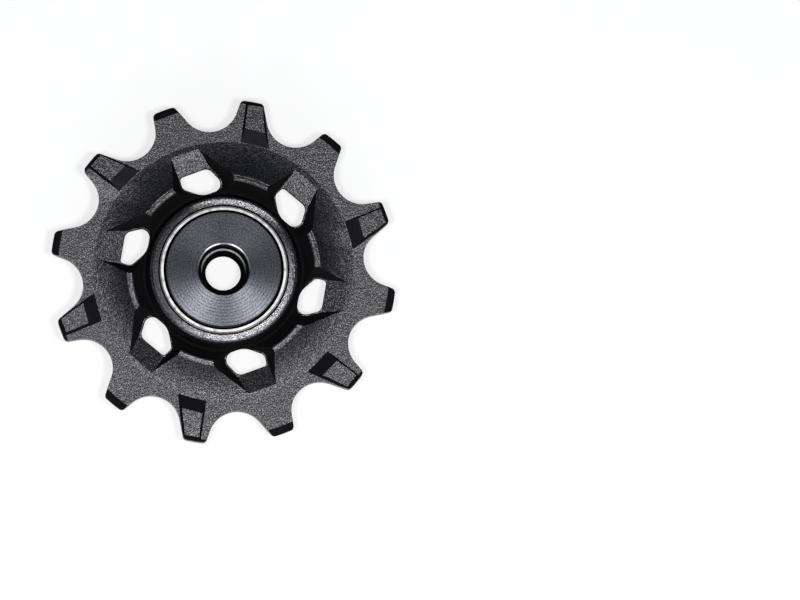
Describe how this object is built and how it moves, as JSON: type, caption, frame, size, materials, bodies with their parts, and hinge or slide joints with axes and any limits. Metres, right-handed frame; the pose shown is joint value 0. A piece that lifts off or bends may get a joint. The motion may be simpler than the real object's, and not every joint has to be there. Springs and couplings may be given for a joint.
{
  "type": "derailleur jockey wheel",
  "caption": "Narrow-wide toothed jockey wheel of moulded nylon on a sealed ball bearing, with a dust cap and a flanged sleeve for a through bolt.",
  "frame": {"origin": "on the axle, at the mid-plane of the teeth and the middle of the whole part", "axes": "+Z along the axle towards the dust cap, +X through the middle of a wide tooth"},
  "size_m": [0.0508, 0.0508, 0.0072],
  "materials": {
    "wheel_nylon": "black glass-filled nylon with a fine spark-eroded grain",
    "bearing_steel": "ground bearing steel",
    "cage_nylon": "natural moulded nylon",
    "seal_rubber": "black nitrile rubber",
    "black_anodised": "black anodised, with fine turning rings"
  },
  "bodies": {
    "axle": {"flanged_sleeve": "black_anodised", "dust_cap": "black_anodised", "bearing_inner_race": "bearing_steel"},
    "wheel": {"pulley_wheel": "wheel_nylon", "bearing_outer_race": "bearing_steel", "bearing_seal_front": "seal_rubber", "bearing_seal_back": "seal_rubber"},
    "cage": {"ball_cage": "cage_nylon"},
    "ball_1": {"bearing_ball_1": "bearing_steel"},
    "ball_2": {"bearing_ball_2": "bearing_steel"},
    "ball_3": {"bearing_ball_3": "bearing_steel"},
    "ball_4": {"bearing_ball_4": "bearing_steel"},
    "ball_5": {"bearing_ball_5": "bearing_steel"},
    "ball_6": {"bearing_ball_6": "bearing_steel"}
  },
  "joints": [
    {"name": "wheel_spin", "type": "hinge", "parent": "axle", "child": "wheel", "pos_m": [0, 0, 0], "axis": [0, 0, 1], "continuous": true},
    {"name": "cage_spin", "type": "hinge", "parent": "axle", "child": "cage", "pos_m": [0, 0, 0], "axis": [0, 0, 1], "continuous": true},
    {"name": "ball_1_spin", "type": "hinge", "parent": "cage", "child": "ball_1", "pos_m": [0.00675, 0, 0], "axis": [0, 0, 1], "continuous": true},
    {"name": "ball_2_spin", "type": "hinge", "parent": "cage", "child": "ball_2", "pos_m": [0.00337, 0.00585, 0], "axis": [0, 0, 1], "continuous": true},
    {"name": "ball_3_spin", "type": "hinge", "parent": "cage", "child": "ball_3", "pos_m": [-0.00337, 0.00585, 0], "axis": [0, 0, 1], "continuous": true},
    {"name": "ball_4_spin", "type": "hinge", "parent": "cage", "child": "ball_4", "pos_m": [-0.00675, 0, 0], "axis": [0, 0, 1], "continuous": true},
    {"name": "ball_5_spin", "type": "hinge", "parent": "cage", "child": "ball_5", "pos_m": [-0.00337, -0.00585, 0], "axis": [0, 0, 1], "continuous": true},
    {"name": "ball_6_spin", "type": "hinge", "parent": "cage", "child": "ball_6", "pos_m": [0.00337, -0.00585, 0], "axis": [0, 0, 1], "continuous": true}
  ],
  "couplings": [
    {"joint": "cage_spin", "follows": "wheel_spin", "ratio": 0.61759},
    {"joint": "ball_1_spin", "follows": "wheel_spin", "ratio": 2.0084},
    {"joint": "ball_2_spin", "follows": "wheel_spin", "ratio": 2.0084},
    {"joint": "ball_3_spin", "follows": "wheel_spin", "ratio": 2.0084},
    {"joint": "ball_4_spin", "follows": "wheel_spin", "ratio": 2.0084},
    {"joint": "ball_5_spin", "follows": "wheel_spin", "ratio": 2.0084},
    {"joint": "ball_6_spin", "follows": "wheel_spin", "ratio": 2.0084}
  ]
}
